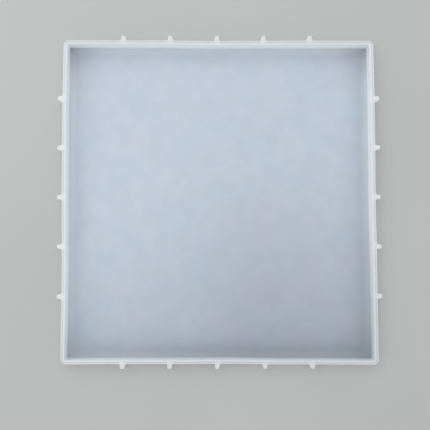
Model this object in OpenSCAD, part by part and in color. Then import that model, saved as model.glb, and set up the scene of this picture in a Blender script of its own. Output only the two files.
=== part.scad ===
// Resin casting mould: an open square tray of soft silicone with low walls and outside ribs.
// Millimetres, +Z up. The origin is the middle of the underside, which lies on the table.
// +X is the right side of the tray and +Y is its back.
// The mould is one casting, divided here into its floor, walls, corners and ribs. The walls turn
// outwards about their own roots, as they do when a finished casting is peeled out.

/* [Cavity] */
// Width of the casting cavity, from the left wall to the right wall
cavity_x = 345; // [280:0.5:400]
// Length of the casting cavity, from the front wall to the back wall
cavity_y = 355.5; // [280:0.5:400]
// Depth of the cavity, from the floor to the rim
cavity_depth = 14; // [8:0.5:25]
// Radius of the cavity's upright corners
inner_corner_r = 1.5; // [1.3:0.1:3]

/* [Silicone] */
// Thickness of the standing walls
wall_t = 4.5; // [4.4:0.1:6]
// Thickness of the floor
floor_t = 4; // [3.2:0.1:8]

/* [Ribs] */
// Number of ribs on each side
ribs_per_side = 5; // [3:1:5]
// How far a rib stands out from its wall
rib_out = 5.4; // [3:0.1:8]
// Thickness of a rib
rib_t = 5; // [3.2:0.1:6]
// Radius of a rib's two outer edges
rib_edge_r = 1.4; // [0.5:0.1:1.5]
// Radius of the fillets where a rib meets its wall
rib_root_r = 1.4; // [0.3:0.1:1.5]
// Gap between a rib's foot and the table
rib_foot_z = 0.5; // [0.2:0.1:2]
// Distance between ribs along the front and back walls
rib_pitch_x = 53; // [30:0.1:56]
// Distance between ribs along the left and right walls
rib_pitch_y = 55.7; // [30:0.1:56]
// Offset of the front and back rows of ribs from the middle, towards the right
rib_shift_x = -2.5; // [-5:0.1:5]
// Offset of the left and right rows of ribs from the middle, towards the back
rib_shift_y = 4; // [-5:0.1:5]

/* [Wall roots] */
// Clearance between a wall's round heel and the hollow edge of the floor that it turns against
heel_gap = 0.1; // [0.05:0.01:0.3]
// Clearance between each end of a wall and the corner post beside it
end_gap = 0.2; // [0.1:0.05:0.5]
// How far the edge of the floor reaches out under a wall's heel
floor_lip = 0.6; // [0.3:0.1:0.8]

/* [Hidden] */
$fn = 96;
SIDES = ["left", "right", "front", "back"];
CORNERS = ["front_left", "front_right", "back_left", "back_right"];

total_h = floor_t + cavity_depth;
heel_r = wall_t / 2;          // the wall's foot is a half round, as thick as the wall
root_z = heel_r;              // height of the line that a wall turns about
outer_corner_r = inner_corner_r + wall_t;
floor_color = [0.80, 0.84, 0.87];
wall_color = [0.90, 0.92, 0.94];
rib_color = [0.93, 0.94, 0.96];

// A side's own frame has +X pointing out of the tray and Y running along the wall.
function runs_along_x(side) = side == "front" || side == "back";
function side_angle(side) = side == "right" ? 0 : side == "back" ? 90 : side == "left" ? 180 : 270;
function face_distance(side) = (runs_along_x(side) ? cavity_y : cavity_x) / 2;
function wall_run(side) = (runs_along_x(side) ? cavity_x : cavity_y) - 2 * inner_corner_r;
// Ribs are numbered from front to back and from left to right. The frames of the left and back
// sides run the other way, so the place of a rib changes sign there.
function run_sign(side) = side == "left" || side == "back" ? -1 : 1;
function rib_pitch(side) = runs_along_x(side) ? rib_pitch_x : rib_pitch_y;
function rib_shift(side) = runs_along_x(side) ? rib_shift_x : rib_shift_y;
function rib_place(side, number) =
    run_sign(side) * (rib_shift(side) + (number - (ribs_per_side + 1) / 2) * rib_pitch(side));

// Puts its children at the inner face of one wall, at mid-length.
module at_side(side) {
    rotate([0, 0, side_angle(side)]) translate([face_distance(side), 0, 0]) children();
}

// Extrudes an outline drawn as (out of the tray, up) along the run of a wall.
module along_wall(length) {
    rotate([90, 0, 0]) linear_extrude(height = length, center = true) children();
}

// Everything that a wall fills or turns through beside the floor, with its clearances.
module wall_room(side) {
    at_side(side) along_wall(wall_run(side)) {
        translate([heel_r, root_z]) circle(r = heel_r + heel_gap);
        translate([-heel_gap, root_z]) square([wall_t, total_h]);
    }
}

module floor_outline() {
    straight_x = cavity_x - 2 * inner_corner_r;
    straight_y = cavity_y - 2 * inner_corner_r;
    square([cavity_x + 2 * floor_lip, straight_y], center = true);
    square([straight_x, cavity_y + 2 * floor_lip], center = true);
    for (sx = [-1, 1], sy = [-1, 1])
        translate([sx * straight_x / 2, sy * straight_y / 2]) circle(r = inner_corner_r);
}

module floor_panel() {
    color(floor_color) difference() {
        linear_extrude(height = floor_t) floor_outline();
        for (side = SIDES) wall_room(side);
    }
}

// A standing wall on a half-round heel.
module wall(side) {
    color(wall_color) at_side(side) along_wall(wall_run(side) - 2 * end_gap) {
        translate([heel_r, root_z]) circle(r = heel_r);
        translate([0, root_z]) square([wall_t, total_h - root_z]);
    }
}

// A quarter ring, as thick as the walls, about the centre of the cavity's upright corner.
module corner_outline() {
    intersection() {
        difference() {
            circle(r = outer_corner_r);
            circle(r = inner_corner_r);
        }
        square(outer_corner_r);
    }
}

// A corner post, which holds two neighbouring walls together.
module corner_post(corner) {
    front = corner == "front_left" || corner == "front_right";
    left = corner == "front_left" || corner == "back_left";
    color(wall_color)
        mirror([left ? 1 : 0, 0, 0]) mirror([0, front ? 1 : 0, 0])
            translate([cavity_x / 2 - inner_corner_r, cavity_y / 2 - inner_corner_r, 0])
                linear_extrude(height = total_h) corner_outline();
}

// A rib seen from above: its root lies on X = 0 and it stands out along +X.
module rib_outline() {
    half_t = rib_t / 2;
    translate([0, -half_t]) square([rib_out - rib_edge_r, rib_t]);
    translate([0, -half_t + rib_edge_r]) square([rib_out, rib_t - 2 * rib_edge_r]);
    for (sy = [-1, 1]) {
        translate([rib_out - rib_edge_r, sy * (half_t - rib_edge_r)]) circle(r = rib_edge_r);
        mirror([0, sy < 0 ? 1 : 0]) translate([0, half_t]) difference() {
            square(rib_root_r);
            translate([rib_root_r, rib_root_r]) circle(r = rib_root_r);
        }
    }
}

module rib(side, number) {
    color(rib_color)
        at_side(side) translate([wall_t, rib_place(side, number), rib_foot_z])
            linear_extrude(height = total_h - rib_foot_z) rib_outline();
}

floor_panel();
for (side = SIDES) wall(side);
for (corner = CORNERS) corner_post(corner);
for (side = SIDES, number = [1:ribs_per_side])
    rib(side, number);
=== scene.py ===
"""Looks of the resin casting mould: a continuous skin of milky silicone over the CAD frame.

The real mould is one soft casting. Every wall is skinned in two halves, which run from the standing
corners to the wall's middle rib.
"""

import math
import random

import bmesh
import bpy
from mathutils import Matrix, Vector, noise


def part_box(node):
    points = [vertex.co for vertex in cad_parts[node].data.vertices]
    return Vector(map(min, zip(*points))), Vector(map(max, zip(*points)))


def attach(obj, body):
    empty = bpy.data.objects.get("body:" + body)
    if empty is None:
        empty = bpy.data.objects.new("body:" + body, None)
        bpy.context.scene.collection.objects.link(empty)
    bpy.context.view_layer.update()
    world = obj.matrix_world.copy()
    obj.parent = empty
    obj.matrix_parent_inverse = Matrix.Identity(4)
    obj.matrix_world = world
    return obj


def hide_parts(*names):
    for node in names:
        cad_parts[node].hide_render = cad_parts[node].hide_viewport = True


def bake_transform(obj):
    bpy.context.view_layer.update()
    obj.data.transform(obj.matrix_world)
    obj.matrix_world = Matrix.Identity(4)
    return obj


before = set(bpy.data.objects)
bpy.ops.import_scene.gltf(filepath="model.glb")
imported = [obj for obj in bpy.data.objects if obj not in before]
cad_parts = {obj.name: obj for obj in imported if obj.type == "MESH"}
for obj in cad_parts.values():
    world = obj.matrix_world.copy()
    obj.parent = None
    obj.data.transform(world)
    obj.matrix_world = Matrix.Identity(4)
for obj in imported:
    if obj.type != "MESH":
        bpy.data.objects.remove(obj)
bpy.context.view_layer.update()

MM = 0.001

# ---------------------------------------------------------------- sizes from the frame

SIDES = ("left", "right", "front", "back")
CORNERS = ("front_left", "front_right", "back_left", "back_right")

right_low, right_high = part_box("wall_right")
back_low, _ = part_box("wall_back")
post_low, post_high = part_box("corner_back_right")
_, floor_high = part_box("floor_panel")

HALF_X = right_low[0]                      # from the middle to the left and right inner faces
HALF_Y = back_low[1]                       # from the middle to the front and back inner faces
WALL_T = right_high[0] - right_low[0]
HEIGHT = right_high[2]
FLOOR_TOP = floor_high[2]
CORNER_R = post_high[0] - post_low[0] - WALL_T   # radius of the cavity's upright corners

# ---------------------------------------------------------------- details of the casting

RIM_IN_R = 0.6 * MM         # rounding of the rim's inner edge
RIM_OUT_R = 0.9 * MM        # rounding of the rim's outer edge
RIM_DISH = 0.28 * MM        # how far the rim's dish sinks below its two edges
RIM_LIP = 0.5 * MM          # flat strip between the inner edge's rounding and the dish
ROOT_R = 1.5 * MM           # fillet between the inner face and the floor
FOOT_R = 0.8 * MM           # rounding under the outer face
DRAFT = 0.2 * MM            # how far the inner face leans out, from root to rim
LAP = 1.0 * MM              # how far the floor's skin reaches in under the walls
BURIED = 1.0 * MM           # how far a skin runs on inside its neighbour

RIB_ROOT_R = 1.4 * MM       # fillets where a rib meets its wall
RIB_EDGE_R = 1.4 * MM       # rounding of a rib's two upright outer edges
RIB_TOP_R = 0.7 * MM        # rounding of a rib's top
RIB_FOOT_R = 0.5 * MM       # rounding of a rib's foot
RIB_BURIED = 1.5 * MM       # how far a rib's root runs on inside its wall
RIB_SINK = 0.01 * MM        # how far a rib's top lies below the rim, so they never share a plane
RIB_FLARE = 0.2             # how much wider than its tip a rib is at its root, as a share
RIB_LEAN = 4                # the most degrees that a rib leans to one side
RIB_PATCH = 3.2 * MM        # half width of the flat patch that a rib makes in the rim's dish
RIB_SWELL = 0.3 * MM        # how far the inner face swells in behind a rib

# How far each corner lies off its true place, as a soft casting never lies quite square.
CORNER_SHIFT = {
    "front_left": (0.2 * MM, 0.0 * MM),
    "front_right": (0.3 * MM, -1.2 * MM),
    "back_left": (0.6 * MM, 0.2 * MM),
    "back_right": (-1.6 * MM, -0.4 * MM),
}
SHIFT_REACH = 45 * MM       # how far along the walls a corner's shift dies away

# How far each wall stands off its straight line at the quarter points of its run, outwards
# positive. Left and right walls run from front to back, the other two from left to right.
WALL_SWAY = {
    "left": (-0.8 * MM, -0.15 * MM, 0.3 * MM),
    "right": (-0.1 * MM, -0.85 * MM, -0.75 * MM),
    "front": (-0.15 * MM, -0.25 * MM, 0.6 * MM),
    "back": (0.0 * MM, -0.7 * MM, -0.25 * MM),
}
STRAIGHT_TIPS = ("front", "back")   # sides whose ribs end in one straight line all the same
WAVE = 0.10 * MM            # the walls' slight waviness
WAVE_LENGTH = 95 * MM
RING_STEP = 1.6 * MM        # distance between the rings of a wall's skin
SHARP_EDGE = math.radians(40)   # edges that fold by more than this stay sharp
CORNER_STEPS = 12           # steps round the quarter turn of a corner
FLOOR_CELL = 4 * MM         # size of the floor's mesh cells
FLOOR_ROLL = 0.06 * MM      # how far the floor's top rolls up and down

random.seed(14)


def arc(centre, radius, start, end, steps):
    """Points along a circular arc, as (out, up), from the start angle to the end angle."""
    angles = [math.radians(start + (end - start) * i / steps) for i in range(steps + 1)]
    return [(centre[0] + radius * math.cos(a), centre[1] + radius * math.sin(a)) for a in angles]


def steps_between(first, last, count):
    """The count values that lie between first and last, evenly spaced, without either of them."""
    return [first + (last - first) * i / (count + 1) for i in range(1, count + 1)]


def bell(distance, width):
    return math.exp(-((distance / width) ** 2))


def corner_directions(corner):
    """The two directions, across and along the tray, that lead from its middle to a corner."""
    depth, width = corner.split("_")
    across = Vector((1 if width == "right" else -1, 0, 0))
    along = Vector((0, 1 if depth == "back" else -1, 0))
    return across, along


def settled(point):
    """Where a point of a perfectly square tray lies in the soft one."""
    moved = point.copy()
    for corner, shift in CORNER_SHIFT.items():
        across, along = corner_directions(corner)
        distance = (point.xy - (across * HALF_X + along * HALF_Y).xy).length
        moved.xy += Vector(shift) * bell(distance, SHIFT_REACH)
    return moved


# ---------------------------------------------------------------- the wall's section and sides

def wall_section():
    """A wall's outline as (out, up): up the inside, over the rim, down the outside, back below."""
    toe = -ROOT_R - BURIED
    rim_start = DRAFT + RIM_IN_R
    rim_end = WALL_T - RIM_OUT_R
    root_top = FLOOR_TOP + ROOT_R
    face_top = HEIGHT - RIM_IN_R
    points = [(toe, FLOOR_TOP - BURIED / 2)]
    points += arc((-ROOT_R, root_top), ROOT_R, 270, 360, 6)
    for up in steps_between(root_top, face_top, 6):
        points.append((DRAFT * (up - root_top) / (face_top - root_top), up))
    points += arc((rim_start, face_top), RIM_IN_R, 180, 90, 4)
    points += [(out, HEIGHT) for out in steps_between(rim_start, rim_end, 8)]
    points += arc((rim_end, HEIGHT - RIM_OUT_R), RIM_OUT_R, 90, 0, 5)
    points += [(WALL_T, up) for up in steps_between(HEIGHT - RIM_OUT_R, FOOT_R, 8)]
    points += arc((WALL_T - FOOT_R, FOOT_R), FOOT_R, 0, -90, 4)
    points += [(LAP, 0.0), (LAP, BURIED / 3), (toe, BURIED / 3)]
    return points


def rim_groove(out, up):
    """1 in the middle of the rim's dish, fading to 0 at its two edges and off the rim. It sets the
    dish's depth and its painted shade.
    """
    start = DRAFT + RIM_IN_R + RIM_LIP
    end = WALL_T - RIM_OUT_R / 2
    if up < HEIGHT - RIM_OUT_R or not start < out < end:
        return 0.0
    return math.sin(math.pi * (out - start) / (end - start)) ** 2


class Side:
    """One side of the tray: its directions, its run between the corner posts, and its ribs."""

    def __init__(self, name):
        self.name = name
        self.body = "wall_" + name
        low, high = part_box(self.body)
        across = 0 if name in ("left", "right") else 1
        sign = 1 if low[across] + high[across] > 0 else -1
        self.out = Vector((sign, 0, 0)) if across == 0 else Vector((0, sign, 0))
        self.run = Vector((0, 1, 0)) if across == 0 else Vector((1, 0, 0))
        self.face = HALF_X if across == 0 else HALF_Y
        self.half_run = (HALF_Y if across == 0 else HALF_X) - CORNER_R
        self.rib_nodes = sorted(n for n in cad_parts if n.startswith(f"rib_{name}_"))
        self.rib_places = []
        for node in self.rib_nodes:
            rib_low, rib_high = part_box(node)
            self.rib_places.append((rib_low[1 - across] + rib_high[1 - across]) / 2)
        self.split = self.rib_places[len(self.rib_places) // 2]
        self.phase = random.uniform(0, 2 * math.pi)

    def sway(self, along):
        """How far the whole wall stands off its straight line, outwards positive."""
        spots = (0.0, *WALL_SWAY[self.name], 0.0)
        place = (along / self.half_run + 1) / 2 * (len(spots) - 1)
        before = min(int(place), len(spots) - 2)
        share = (1 - math.cos(math.pi * (place - before))) / 2
        wave = WAVE * math.sin(2 * math.pi * along / WAVE_LENGTH + self.phase)
        window = math.cos(math.pi * along / (2 * self.half_run)) ** 2
        return spots[before] * (1 - share) + spots[before + 1] * share + window * wave

    def near_rib(self, along):
        """1 behind a rib, fading to 0 away from it."""
        return max(bell(along - place, RIB_PATCH) for place in self.rib_places)

    def place(self, out, along, up):
        """The point at these distances out from the inner face, along the run and up."""
        return settled(self.out * (self.face + out) + self.run * along + Vector((0, 0, up)))

    def ring(self, along):
        """The wall's section at one place along its run, as (point, groove) pairs."""
        rib = self.near_rib(along)
        sway = self.sway(along)
        pairs = []
        for out, up in wall_section():
            rise = max(0.0, (up - FLOOR_TOP) / (HEIGHT - FLOOR_TOP))
            swell = RIB_SWELL * rib * rise if out < WALL_T / 2 else 0.0
            groove = rim_groove(out, up) * (1 - rib)
            pairs.append((self.place(out + sway - swell, along, up - RIM_DISH * groove), groove))
        return pairs

    def bend(self, piece, corner_end):
        """Bakes the piece's placement into its mesh."""
        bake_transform(piece)


# ---------------------------------------------------------------- meshes

def finish_mesh(name, bm, material):
    """Turns a bmesh into a shown piece: smooth, with its sharp edges kept sharp."""
    bmesh.ops.remove_doubles(bm, verts=bm.verts, dist=1e-6)
    bmesh.ops.recalc_face_normals(bm, faces=bm.faces)
    for face in bm.faces:
        face.smooth = True
    for edge in bm.edges:
        edge.smooth = edge.calc_face_angle(0.0) < SHARP_EDGE
    mesh = bpy.data.meshes.new(name)
    bm.to_mesh(mesh)
    bm.free()
    mesh.materials.append(material)
    piece = bpy.data.objects.new(name, mesh)
    bpy.context.scene.collection.objects.link(piece)
    return piece


def loft(rings):
    """A closed solid through rings of (point, groove) pairs, with a flat cap at each end."""
    bm = bmesh.new()
    groove_layer = bm.verts.layers.float.new("groove")
    made = []
    for ring in rings:
        made.append([bm.verts.new(point) for point, groove in ring])
        for vert, (point, groove) in zip(made[-1], ring):
            vert[groove_layer] = groove
    for first, second in zip(made, made[1:]):
        for i in range(len(first)):
            j = (i + 1) % len(first)
            bm.faces.new((first[i], first[j], second[j], second[i]))
    bm.faces.new(made[0])
    bm.faces.new(made[-1])
    return bm


def wall_half(side, corner_end, name, material):
    """One half of a wall's skin, from a corner post to the middle rib."""
    length = side.split - corner_end
    count = round(abs(length) / RING_STEP)
    rings = [side.ring(corner_end + length * i / count) for i in range(count + 1)]
    piece = finish_mesh(name, loft(rings), material)
    side.bend(piece, corner_end)
    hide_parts("wall_" + side.name)


def corner_skin(corner, material):
    """A corner post's skin: the wall's section swept round the upright corner."""
    across, along = corner_directions(corner)
    centre = across * (HALF_X - CORNER_R) + along * (HALF_Y - CORNER_R)
    rings = []
    for i in range(CORNER_STEPS + 1):
        turn = math.radians(90 * i / CORNER_STEPS)
        away = across * math.cos(turn) + along * math.sin(turn)
        ring = []
        for out, up in wall_section():
            reach = max(0.0, CORNER_R + out)
            groove = rim_groove(out, up)
            sunk = Vector((0, 0, up - RIM_DISH * groove))
            ring.append((settled(centre + away * reach + sunk), groove))
        rings.append(ring)
    piece = finish_mesh("skin_corner_" + corner, loft(rings), material)
    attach(piece, "base")
    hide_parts("corner_" + corner)


def rib_outline(reach, thickness, inset):
    """A rib seen from above, as (out, across), with its root buried in the wall."""
    half = thickness / 2 - inset
    edge_r = RIB_EDGE_R - inset
    tip = reach - inset
    right = [(-RIB_BURIED, half + RIB_ROOT_R)]
    right += arc((RIB_ROOT_R, half + RIB_ROOT_R), RIB_ROOT_R, 180, 270, 5)
    right += arc((tip - edge_r, half - edge_r), edge_r, 90, 0, 6)
    return right + [(out, -across) for out, across in reversed(right)]


def rib_levels(foot, top):
    """The heights of a rib's rings, each with how far the ring is drawn in."""
    low_cut = 0.3 * RIB_FOOT_R
    levels = [(foot, RIB_FOOT_R), (foot + low_cut, low_cut), (foot + RIB_FOOT_R, 0.0)]
    levels += [(up, 0.0) for up in steps_between(foot + RIB_FOOT_R, top - RIB_TOP_R, 8)]
    for inset, rise in arc((0, 0), RIB_TOP_R, 0, 90, 5):
        levels.append((top - RIB_TOP_R + rise, RIB_TOP_R - inset))
    return levels


def rib_skin(side, number, material):
    """A rib's skin: flush with the rim, filleted into the wall, each a little different."""
    node = side.rib_nodes[number]
    along = side.rib_places[number]
    low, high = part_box(node)
    reach = min(high[0] - low[0], high[1] - low[1]) + random.uniform(-0.2, 0.0) * MM
    if side.name in STRAIGHT_TIPS:
        reach -= side.sway(along)
    thickness = max(high[0] - low[0], high[1] - low[1]) - 2 * RIB_ROOT_R
    thickness += random.uniform(-0.15, 0.15) * MM
    lean = math.radians(random.uniform(-RIB_LEAN, RIB_LEAN))
    rings = []
    for up, inset in rib_levels(low[2], HEIGHT - RIB_SINK):
        ring = []
        for out, across in rib_outline(reach, thickness, inset):
            across *= 1 + RIB_FLARE * (0.5 - out / reach)
            across += out * math.tan(lean)
            point = side.place(WALL_T + out + side.sway(along), along + across, up)
            ring.append((point, 0.0))
        rings.append(ring)
    piece = finish_mesh("skin_" + node, loft(rings), material)
    corner_end = -side.half_run if along <= side.split else side.half_run
    side.bend(piece, corner_end)
    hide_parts(node)


def floor_skin(material):
    """The floor's skin: a slab whose top rolls very slightly, as a poured sheet does."""
    reach_x = HALF_X + LAP
    reach_y = HALF_Y + LAP
    count_x = round(2 * reach_x / FLOOR_CELL)
    count_y = round(2 * reach_y / FLOOR_CELL)
    bm = bmesh.new()
    rows = []
    for j in range(count_y + 1):
        row = []
        for i in range(count_x + 1):
            x = -reach_x + 2 * reach_x * i / count_x
            y = -reach_y + 2 * reach_y * j / count_y
            # Broad rolls, about 70 mm across, with fainter ones of about 25 mm.
            roll = noise.noise(Vector((x, y, 0)) * 14) + 0.4 * noise.noise(Vector((x, y, 1)) * 40)
            row.append(bm.verts.new(settled(Vector((x, y, FLOOR_TOP + FLOOR_ROLL * roll)))))
        rows.append(row)
    for below, above in zip(rows, rows[1:]):
        for i in range(count_x):
            bm.faces.new((below[i], below[i + 1], above[i + 1], above[i]))
    # The slab's corners are drawn in, so that its foot ends where the round corner skins begin.
    for corner in (rows[0][0], rows[0][-1], rows[-1][0], rows[-1][-1]):
        corner.co.x -= math.copysign(0.75 * LAP, corner.co.x)
        corner.co.y -= math.copysign(0.75 * LAP, corner.co.y)
    right_side = [row[-1] for row in rows[1:-1]]
    left_side = [row[0] for row in rows[-2:0:-1]]
    edge = rows[0] + right_side + rows[-1][::-1] + left_side
    under = [bm.verts.new((v.co.x, v.co.y, 0)) for v in edge]
    for i in range(len(edge)):
        j = (i + 1) % len(edge)
        bm.faces.new((edge[i], edge[j], under[j], under[i]))
    bm.faces.new(under)
    piece = finish_mesh("skin_floor", bm, material)
    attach(piece, "base")
    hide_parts("floor_panel")


# ---------------------------------------------------------------- materials

BLACK = (0, 0, 0, 1)
WALL_COOL = (0.94, 0.96, 0.98, 1)
WALL_WARM = (0.96, 0.97, 0.98, 1)
# The rim's tint is darker than the faces' milky tints: the faces' extra brightness is a painted glow,
# standing in for light through the silicone.
WALL_RIM = (0.77, 0.79, 0.81, 1)
RIB_RIM = (0.78, 0.79, 0.80, 1)
# Painted shade in the middle of the rim's dish, so that its two edges read lighter.
RIM_GROOVE_PAINTED_SHADE = (0.60, 0.63, 0.67, 1)
LIT_FACE_ROOT = (0.92, 0.94, 0.96, 1)           # painted shade at the foot of the inner faces: the lit copy, at the back left
SHADED_ROOT = (0.73, 0.78, 0.83, 1)         # the same painted shade, deeper: the shaded copy, at the front right
FLOOR_COOL = (0.53, 0.61, 0.70, 1)
FLOOR_WARM = (0.58, 0.61, 0.70, 1)
FLOOR_MEAN = (0.555, 0.61, 0.70, 1)         # halfway between the two
FLOOR_GLOW = (0.80, 0.86, 0.91, 1)          # painted glow on the floor right beside a wall

GLOW_REACH = 11 * MM        # how far from the walls the floor's painted glow dies away
SHADE_START = -60 * MM      # a wall's painted shade on the floor runs from behind its own face ...
SHADE_END = 45 * MM         # ... to this far in front of it
CORNER_REACH = 35 * MM      # how far the extra painted shade of a corner dies away


class Nodes:
    """A small helper that adds and links shader nodes in one material."""

    def __init__(self, name):
        self.material = bpy.data.materials.new(name)
        self.material.use_nodes = True
        self.tree = self.material.node_tree
        self.shader = self.tree.nodes["Principled BSDF"]
        self.where = self.tree.nodes.new("ShaderNodeTexCoord").outputs["Object"]

    def link(self, source, target):
        self.tree.links.new(source, target)

    def put(self, value, socket):
        if isinstance(value, bpy.types.NodeSocket):
            self.link(value, socket)
        else:
            socket.default_value = value

    def math(self, operation, first, second=0.0):
        node = self.tree.nodes.new("ShaderNodeMath")
        node.operation = operation
        self.put(first, node.inputs[0])
        self.put(second, node.inputs[1])
        return node.outputs[0]

    def noise(self, size, detail):
        """Noise whose features are about this size."""
        node = self.tree.nodes.new("ShaderNodeTexNoise")
        self.link(self.where, node.inputs["Vector"])
        node.inputs["Scale"].default_value = 1 / size
        node.inputs["Detail"].default_value = detail
        return node.outputs["Fac"]

    def ramp(self, value, low, high):
        """0 below low, 1 above high, with smooth ends."""
        node = self.tree.nodes.new("ShaderNodeMapRange")
        node.interpolation_type = "SMOOTHSTEP"
        self.link(value, node.inputs["Value"])
        node.inputs["From Min"].default_value = low
        node.inputs["From Max"].default_value = high
        return node.outputs["Result"]

    def mix(self, amount, first, second):
        node = self.tree.nodes.new("ShaderNodeMix")
        node.data_type = "RGBA"
        self.put(amount, node.inputs[0])
        self.put(first, node.inputs[6])
        self.put(second, node.inputs[7])
        return node.outputs[2]

    def attribute(self, name):
        node = self.tree.nodes.new("ShaderNodeAttribute")
        node.attribute_name = name
        return node.outputs["Fac"]

    def axis(self, name):
        node = self.tree.nodes.new("ShaderNodeSeparateXYZ")
        self.link(self.where, node.inputs[0])
        return node.outputs[name]

    def scaled(self, value, factor):
        return self.math("MULTIPLY", value, factor)

    def shade(self, color, where, most):
        """The colour made darker: by this share of it where the value is 1, by nothing where 0."""
        return self.mix(self.scaled(where, most), color, BLACK)

    def between(self, share, first, second):
        """The value that lies this share of the way from first to second."""
        gap = self.math("SUBTRACT", second, first)
        return self.math("ADD", first, self.math("MULTIPLY", share, gap))

    def from_faces(self):
        """How far in from the side faces and from the front and back faces, as two values."""
        across = self.math("SUBTRACT", HALF_X, self.math("ABSOLUTE", self.axis("X")))
        along = self.math("SUBTRACT", HALF_Y, self.math("ABSOLUTE", self.axis("Y")))
        return across, along

    def out_of_faces(self):
        """How far out from the inner faces, following the round of the cavity's corners."""
        from_x, from_y = self.from_faces()
        past_x = self.math("MAXIMUM", self.math("SUBTRACT", CORNER_R, from_x), 0.0)
        past_y = self.math("MAXIMUM", self.math("SUBTRACT", CORNER_R, from_y), 0.0)
        squares = self.math("ADD", self.math("POWER", past_x, 2.0), self.math("POWER", past_y, 2.0))
        return self.math("SUBTRACT", self.math("SQRT", squares), CORNER_R)

    def to_front_right(self, low, high):
        """0 to 1 across the tray, mostly towards the front and a little to the right."""
        distance = self.math("SUBTRACT", self.scaled(self.axis("X"), 0.3), self.axis("Y"))
        return self.ramp(distance, low, high)

    def patch(self, x, y, reach_x, reach_y):
        """1 where x and y are both 0, dying away over their reaches."""
        x_share = self.math("DIVIDE", x, reach_x)
        y_share = self.math("DIVIDE", y, reach_y)
        squares = self.math("ADD", self.math("POWER", x_share, 2.0), self.math("POWER", y_share, 2.0))
        return self.math("EXPONENT", self.scaled(squares, -1.0))

    def bump(self, height, strength, distance):
        node = self.tree.nodes.new("ShaderNodeBump")
        self.link(height, node.inputs["Height"])
        node.inputs["Strength"].default_value = strength
        node.inputs["Distance"].default_value = distance
        self.link(node.outputs["Normal"], self.shader.inputs["Normal"])


def silicone(name, cool, warm, roughness):
    """Milky satin silicone: two close tints in soft clouds, a fine skin texture, slight gloss."""
    nodes = Nodes(name)
    clouds = nodes.ramp(nodes.noise(40 * MM, 4), 0.25, 0.75)
    color = nodes.mix(clouds, cool, warm)
    mottle = nodes.ramp(nodes.noise(17 * MM, 3), 0.30, 0.70)
    color = nodes.shade(color, mottle, 0.04)
    gloss = nodes.math("ADD", nodes.scaled(nodes.noise(12 * MM, 4), 0.12), roughness - 0.06)
    nodes.link(gloss, nodes.shader.inputs["Roughness"])
    skin = nodes.math("ADD", nodes.noise(1.2 * MM, 3), nodes.scaled(nodes.noise(9 * MM, 2), 3.0))
    nodes.bump(skin, 0.25, 0.12 * MM)
    nodes.shader.inputs["IOR"].default_value = 1.41
    return nodes, color


def floor_tone(nodes, milky):
    """Painted light on the floor: a painted glow beside the walls, and painted shade in its corners
    and towards the front right.

    Each wall casts a painted shade on the floor in front of it. At a back corner the painted shades
    of the two walls add up, and at a front corner only the deeper of them counts.
    """
    from_x, from_y = nodes.from_faces()
    # A painted glow on the floor beside the walls, standing in for light that comes through them.
    inside = nodes.ramp(nodes.math("MINIMUM", from_x, from_y), 0.0, GLOW_REACH)
    glow = nodes.scaled(nodes.math("SUBTRACT", 1.0, inside), 0.7)
    color = nodes.mix(glow, milky, FLOOR_GLOW)

    # Painted shade that each wall casts on the floor in front of it.
    open_x = nodes.ramp(from_x, SHADE_START, SHADE_END)
    open_y = nodes.ramp(from_y, SHADE_START, SHADE_END)
    to_back = nodes.ramp(nodes.axis("Y"), -100 * MM, 100 * MM)
    least = nodes.math("MINIMUM", open_x, open_y)
    both = nodes.math("MULTIPLY", open_x, open_y)
    closed = nodes.math("SUBTRACT", 1.0, nodes.between(to_back, least, both))
    color = nodes.shade(color, nodes.math("POWER", closed, 1.5), 1.0)
    # Painted shade deepening towards the front right.
    color = nodes.shade(color, nodes.to_front_right(-60 * MM, 450 * MM), 0.5)
    # Painted shade in the corners.
    color = nodes.shade(color, nodes.patch(from_x, from_y, CORNER_REACH, CORNER_REACH), 0.14)

    # A broad painted shade in the front half, a little to the right.
    from_patch_x = nodes.math("SUBTRACT", nodes.axis("X"), 45 * MM)
    from_patch_y = nodes.math("ADD", nodes.axis("Y"), 110 * MM)
    grey = nodes.patch(from_patch_x, from_patch_y, 80 * MM, 150 * MM)
    color = nodes.shade(color, grey, 0.10)

    # A narrow painted shade along the front wall.
    from_front = nodes.math("ADD", nodes.axis("Y"), HALF_Y)
    front_wall_painted_shade = nodes.patch(nodes.axis("X"), from_front, 130 * MM, 18 * MM)
    return nodes.shade(color, front_wall_painted_shade, 0.10)


def floor_material():
    nodes, milky = silicone("floor_silicone", FLOOR_COOL, FLOOR_WARM, 0.42)
    nodes.link(floor_tone(nodes, milky), nodes.shader.inputs["Base Color"])
    return nodes.material


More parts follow.
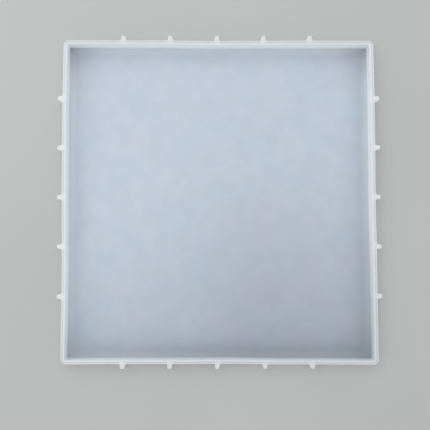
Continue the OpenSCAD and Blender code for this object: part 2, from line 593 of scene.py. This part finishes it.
def wall_material(name, rim):
    """The inner faces rise out of the floor's tone with its painted glow and shade, and have painted
    shade at their foot, deeper at the front right.

    The rim has a darker tint than the faces, whose lighter tint is a painted glow. The rim has
    painted shade in its groove and a little painted shade at the back.
    """
    nodes, milky = silicone(name, WALL_COOL, WALL_WARM, 0.36)
    up = nodes.axis("Z")
    # Painted shade at the foot of the inner faces, deeper towards the front right, fading out up to
    # the rim.
    shaded = nodes.to_front_right(60 * MM, 200 * MM)
    root = nodes.mix(shaded, LIT_FACE_ROOT, SHADED_ROOT)
    face = nodes.mix(nodes.ramp(up, FLOOR_TOP, HEIGHT), root, milky)
    # The fillet at the foot takes the floor's painted glow and shade.
    toe = floor_tone(nodes, FLOOR_MEAN)
    face = nodes.mix(nodes.ramp(up, FLOOR_TOP, FLOOR_TOP + ROOT_R), toe, face)
    # The inner half of the wall has the face's painted shade, with the floor's painted glow and shade
    # at its foot, and the outer half is plain.
    outside = nodes.ramp(nodes.out_of_faces(), 2.0 * MM, 2.9 * MM)
    color = nodes.mix(outside, face, milky)
    # The rim's darker tint; the faces below keep their lighter tint, a painted glow.
    color = nodes.mix(nodes.ramp(up, HEIGHT - 0.7 * MM, HEIGHT - 0.05 * MM), color, rim)
    # Painted shade in the middle of the rim's dish.
    color = nodes.mix(nodes.attribute("groove"), color, RIM_GROOVE_PAINTED_SHADE)
    # Painted shade on the rim along the back.
    at_back = nodes.ramp(nodes.axis("Y"), HALF_Y - 0.5 * MM, HALF_Y + 0.5 * MM)
    on_rim = nodes.ramp(up, HEIGHT - 1.0 * MM, HEIGHT - 0.5 * MM)
    back_rim_painted_shade = nodes.math("MULTIPLY", at_back, on_rim)
    color = nodes.shade(color, back_rim_painted_shade, 0.08)
    # Painted shade over the wall towards the front right.
    color = nodes.shade(color, shaded, 0.09)
    nodes.link(color, nodes.shader.inputs["Base Color"])
    return nodes.material


def stage_material():
    """Pale grey paper, with the faintest mottle."""
    nodes = Nodes("stage_paper")
    mottle = nodes.ramp(nodes.noise(300 * MM, 2), 0.3, 0.7)
    paper = nodes.mix(mottle, (0.52, 0.52, 0.51, 1), (0.54, 0.54, 0.53, 1))
    nodes.link(paper, nodes.shader.inputs["Base Color"])
    nodes.shader.inputs["Roughness"].default_value = 0.85
    return nodes.material


# ---------------------------------------------------------------- building the mould

floor_look = floor_material()
wall_look = wall_material("wall_silicone", WALL_RIM)
rib_look = wall_material("rib_silicone", RIB_RIM)

floor_skin(floor_look)
for corner in CORNERS:
    corner_skin(corner, wall_look)
for side in [Side(name) for name in SIDES]:
    wall_half(side, -side.half_run, f"skin_wall_{side.name}_a", wall_look)
    wall_half(side, side.half_run, f"skin_wall_{side.name}_b", wall_look)
    for number in range(len(side.rib_nodes)):
        rib_skin(side, number, rib_look)


# ---------------------------------------------------------------- stage, lights and camera

def stage_floor():
    """A wide sheet of paper, a hair below the mould so that the two never share a plane."""
    bpy.ops.mesh.primitive_plane_add(size=200, location=(0, 0, -0.1 * MM))
    ground = bpy.context.object
    ground.name = "stage_floor"
    ground.data.materials.append(stage_material())


def area_light(name, place, aim, size, power):
    data = bpy.data.lights.new(name, "AREA")
    data.shape = "RECTANGLE"
    data.size, data.size_y = size
    data.energy = power
    light = bpy.data.objects.new(name, data)
    light.location = place
    light.rotation_euler = (Vector(aim) - Vector(place)).to_track_quat("-Z", "Y").to_euler()
    bpy.context.scene.collection.objects.link(light)


def camera():
    """The photo's view: almost straight down from 0.72 m above the table."""
    data = bpy.data.cameras.new("camera")
    data.lens = 52.6
    data.clip_start = 0.05
    eye = bpy.data.objects.new("camera", data)
    eye.location = (-0.0088, -0.0466, 0.722)
    eye.rotation_euler = [math.radians(angle) for angle in (2.456, -0.314, -0.079)]
    bpy.context.scene.collection.objects.link(eye)
    bpy.context.scene.camera = eye


def room():
    """A white light tent, more than twice as bright at its sides as overhead."""
    world = bpy.data.worlds.new("room")
    world.use_nodes = True
    tree = world.node_tree
    background = tree.nodes["Background"]
    background.inputs["Color"].default_value = (0.95, 0.98, 1.0, 1)
    direction = tree.nodes.new("ShaderNodeTexCoord")
    height = tree.nodes.new("ShaderNodeSeparateXYZ")
    strength = tree.nodes.new("ShaderNodeMapRange")
    strength.inputs["To Min"].default_value = 1.18
    strength.inputs["To Max"].default_value = 0.52
    tree.links.new(direction.outputs["Generated"], height.inputs[0])
    tree.links.new(height.outputs["Z"], strength.inputs["Value"])
    tree.links.new(strength.outputs["Result"], background.inputs["Strength"])
    bpy.context.scene.world = world
    bpy.context.scene.view_settings.view_transform = "Standard"


stage_floor()
area_light("softbox", (-0.22, 0.22, 0.80), (-0.10, 0.10, 0), (1.0, 1.0), 2.8)
room()
camera()
